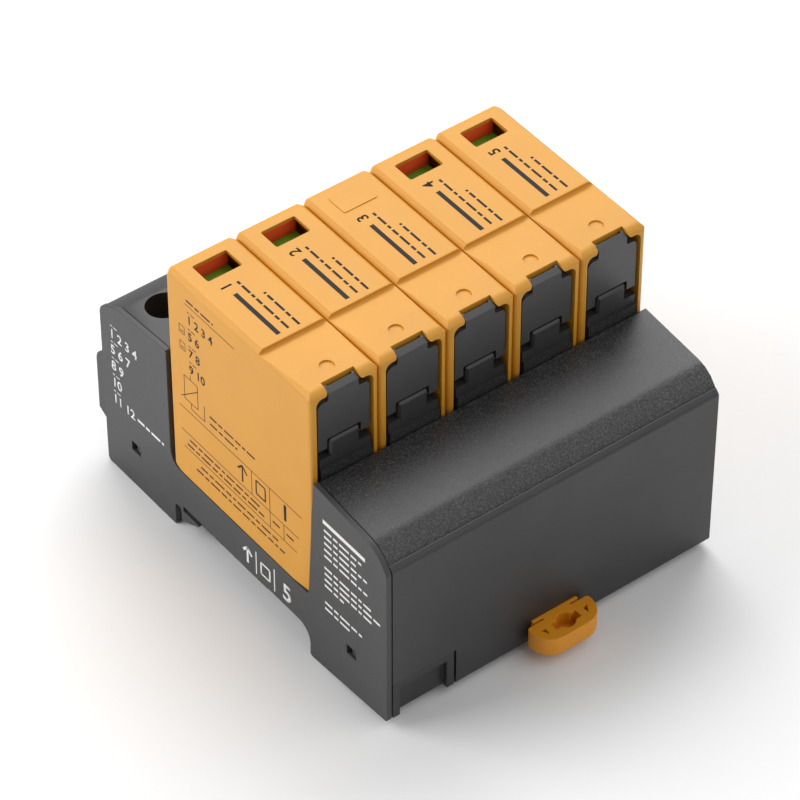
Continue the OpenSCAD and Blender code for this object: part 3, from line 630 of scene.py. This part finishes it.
side_marks = ink_dashes(65.6, -13.3, -3.5, DASH_WIDTH)
side_marks += ink_rows(SIDE_ROWS, start=-13.2, height=2.3, heading_start=-13.0, heading_rise=2.2)
for height in SIDE_BOXES:
    side_marks += ink_outline((-16.3, height - 1.1), (-14.4, height + 1.1), RULE_WIDTH)
    side_marks.append(ink_bar((-15.9, height - 0.4), (-14.8, height - 0.4), width=0.25))
side_marks += ink_outline((-15.3, 35.6), (-10.4, 42.5), SYMBOL_WIDTH)
side_marks += [ink_bar(start, end, SYMBOL_WIDTH) for start, end in VARISTOR_STROKES]
side_marks += ink_dashes(36.9, -6.1, 11.4, DASH_WIDTH)
side_marks += ink_dashes(34.8, -6.0, 4.0, DASH_WIDTH)
for height, start, end in SIDE_RULES:
    side_marks.append(ink_bar((start, height), (end, height), RULE_WIDTH))
for u, low, high in SIDE_DIVIDERS:
    side_marks.append(ink_bar((u, low), (u, high), RULE_WIDTH))
for height, start, end in SIDE_DASHES:
    side_marks += ink_dashes(height, start, end, DASH_WIDTH)
side_marks += ink_arrow((5.6, 31.2), length=4.8, width=0.5)
side_marks += ink_outline((10.6, 26.8), (13.9, 30.7), width=0.45)


def on_module_top(name, marks):
    """Ink on the top of a module at the row's middle."""
    return printed(name, marks, ON_TOP, (0, 0, PLUG_TOP_Z), black_ink)


def on_module_side(name, marks):
    """Ink on the left side of a module at the row's middle."""
    return printed(name, marks, ON_LEFT_SIDE, (PLUG_SIDE_X, 0, 0), black_ink)


masters = [on_module_top("top_print", top_marks), on_module_side("side_print", side_marks)]
for pole in POLES:
    layers = [
        on_module_top("top_numeral", [ink_numbers(f"{pole}", (6.6, 2.2), height=2.6)]),
        on_module_side("side_numeral", [ink_numbers(f"{pole}", (19.4, 28.8), height=4.6)]),
    ]
    for master in masters:
        layer = bpy.data.objects.new(master.name, master.data.copy())
        bpy.context.scene.collection.objects.link(layer)
        layers.append(layer)
    make_active(layers[0])
    for layer in layers:
        layer.select_set(True)
    bpy.ops.object.join()
    print_layer = bpy.context.object
    print_layer.name = f"plug_print_{pole}"
    print_layer.location = ((pole - MIDDLE_POLE) * POLE_PITCH, 0, 0)
    bpy.ops.object.transform_apply(location=True, rotation=False, scale=False)
    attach(print_layer, f"plug_{pole}")
bpy.ops.object.select_all(action="DESELECT")
for master in masters:
    master.select_set(True)
bpy.ops.object.delete()

# Latches: dark grey satin mouldings, one in the front of every module. Each turns on two stub pins between the
# module's side walls.
LATCH_GREY = (60, 60, 61)
latch_plastic = moulded_plastic("latch plastic", LATCH_GREY, depth=0.012 * MM, roughness=(0.33, 0.46), gloss=0.7)
for pole in POLES:
    dressed(f"latch_{pole}", f"latch_{pole}", latch_plastic, edge=0.2 * MM)

# Studio: a plain pale floor under the legs, a broad soft light from behind on the right that draws the sheen of
# the shoulder and roof, one from the left for the sides, a wide weak one in front, and a pale surround.
FLOOR_Z = cad_box[0][2]
FLOOR_SIZE = 8.0
FLOOR_PALE = (0.92, 0.92, 0.92, 1.0)
SURROUND_STRENGTH = 0.26
LIGHT_AIM = Vector((0, 0, 30 * MM))
bpy.ops.object.select_all(action="DESELECT")
bpy.ops.mesh.primitive_plane_add(size=FLOOR_SIZE, location=(0, 0, FLOOR_Z))
floor = bpy.context.object
floor.name = "floor"
floor_finish = Finish("pale floor")
floor_finish.shader.inputs["Base Color"].default_value = FLOOR_PALE
floor_finish.shader.inputs["Roughness"].default_value = 0.9
floor_finish.shader.inputs["Specular IOR Level"].default_value = 0.1
floor.data.materials.append(floor_finish.material)

world = bpy.data.worlds.new("studio")
world.use_nodes = True
world.node_tree.nodes["Background"].inputs["Color"].default_value = (1.0, 1.0, 1.0, 1.0)
world.node_tree.nodes["Background"].inputs["Strength"].default_value = SURROUND_STRENGTH
bpy.context.scene.world = world
bpy.context.scene.view_settings.view_transform = "Standard"


def soft_light(name, place, size, power):
    """A square area light at place, facing the middle of the object."""
    lamp = bpy.data.lights.new(name, "AREA")
    lamp.size = size
    lamp.energy = power
    holder = bpy.data.objects.new(name, lamp)
    holder.location = place
    holder.rotation_euler = (LIGHT_AIM - Vector(place)).to_track_quat("-Z", "Y").to_euler()
    bpy.context.scene.collection.objects.link(holder)


soft_light("back", (0.42, 0.55, 0.82), size=0.9, power=9.2)
soft_light("left", (-0.6, 0.4, 0.45), size=0.6, power=4.7)
soft_light("front", (0.4, -0.65, 0.8), size=1.2, power=4.5)

VIEW_AZIMUTH = math.radians(-37.43)
VIEW_ELEVATION = math.radians(43.70)
VIEW_TARGET = Vector((0, -12 * MM, 25.8 * MM))
VIEW_DISTANCE = 962.7 * MM
VIEW_RIGHT = -5.68 * MM
VIEW_UP = 2.68 * MM
SENSOR_WIDTH = 36.0
LENS_LENGTH = 197.71
camera = bpy.data.objects.new("camera", bpy.data.cameras.new("camera"))
camera.data.sensor_width = SENSOR_WIDTH
camera.data.lens = LENS_LENGTH
camera.rotation_euler = (math.pi / 2 - VIEW_ELEVATION, 0, VIEW_AZIMUTH)
turn = camera.rotation_euler.to_matrix()
camera.location = VIEW_TARGET + turn @ Vector((VIEW_RIGHT, VIEW_UP, VIEW_DISTANCE))
bpy.context.scene.collection.objects.link(camera)
bpy.context.scene.camera = camera
